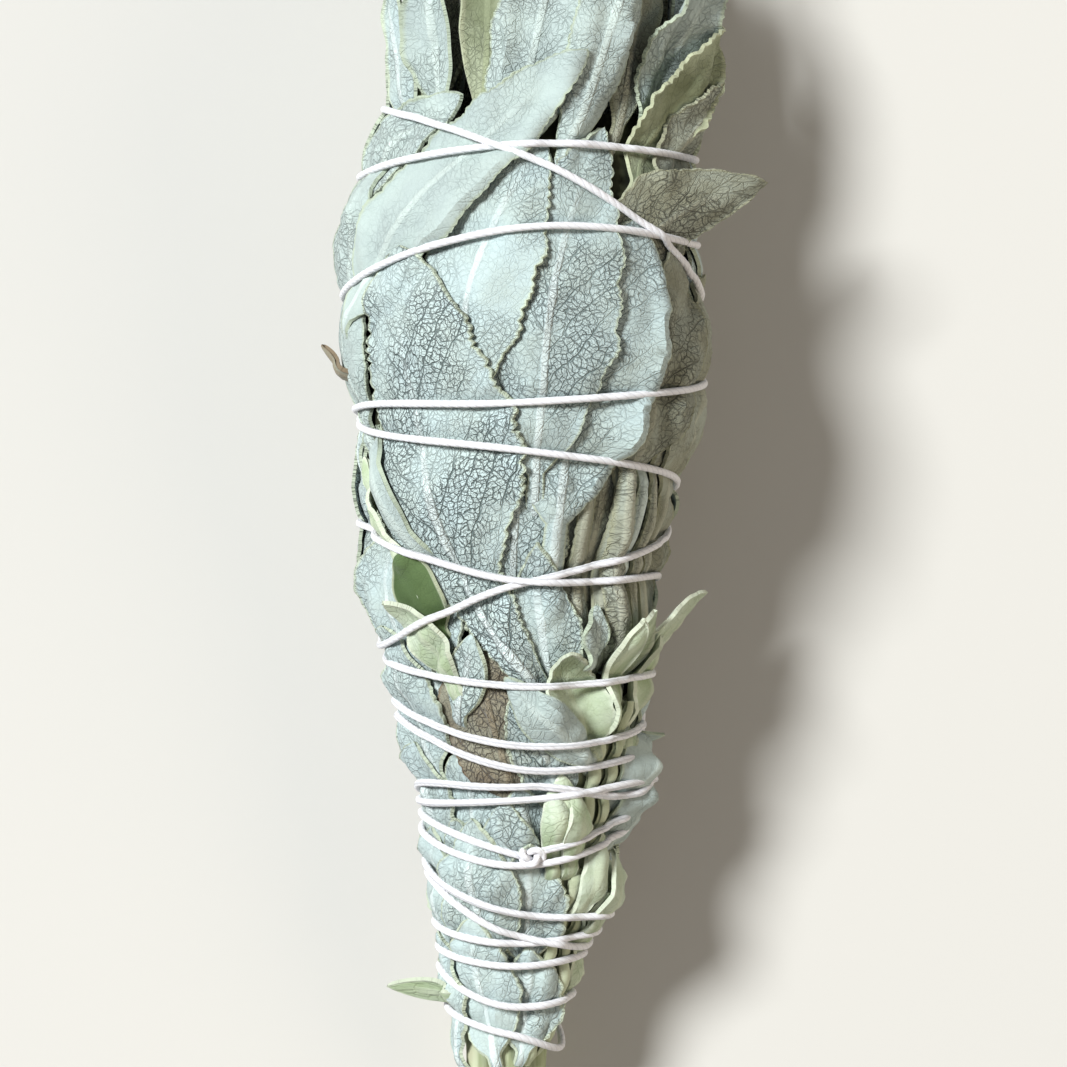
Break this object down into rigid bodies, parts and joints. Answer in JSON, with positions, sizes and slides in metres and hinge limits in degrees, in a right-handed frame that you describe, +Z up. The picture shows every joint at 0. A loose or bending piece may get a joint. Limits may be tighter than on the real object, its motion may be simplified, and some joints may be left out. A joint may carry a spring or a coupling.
{
  "type": "sage smudge stick",
  "caption": "Tapered bundle of leafy sage sprigs lying on its side, bound from end to end with criss-crossing cotton string and knotted near the stems.",
  "frame": {"origin": "under the middle of the stick's box, on the surface that it lies on", "axes": "+Y along the stick from the cut stems to the leaf tips, +Z up, +X to the right as seen from above with the tips away"},
  "size_m": [0.0496, 0.1596, 0.0431],
  "materials": {
    "sage_leaf": "matt felted grey-green leaf with a fine net of veins",
    "sage_stem": "matt pale green stem",
    "young_leaf": "smooth matt yellow-green young leaf",
    "withered_leaf": "dull brown withered leaf",
    "cotton_string": "soft off-white twisted cotton"
  },
  "bodies": {
    "root": {"sprig_centre": "sage_stem", "sprig_top": "sage_leaf", "sprig_top_right": "sage_leaf", "sprig_low_right": "sage_leaf", "sprig_underside": "sage_leaf", "sprig_low_left": "sage_leaf", "sprig_top_left": "sage_leaf", "leaf_cover_left": "sage_leaf", "leaf_top_sweep": "sage_leaf", "leaf_top_left_fold": "sage_leaf", "leaf_right_tip": "sage_leaf", "leaf_low_mid_1": "sage_leaf", "leaf_low_mid_2": "sage_leaf", "leaf_small_1": "sage_leaf", "leaf_small_2": "sage_leaf", "leaf_spotted": "sage_leaf", "leaf_young_1": "young_leaf", "leaf_roll_right": "young_leaf", "leaf_bud": "young_leaf", "leaf_tail_tip": "young_leaf", "leaf_brown": "withered_leaf", "string": "cotton_string"}
  },
  "joints": []
}
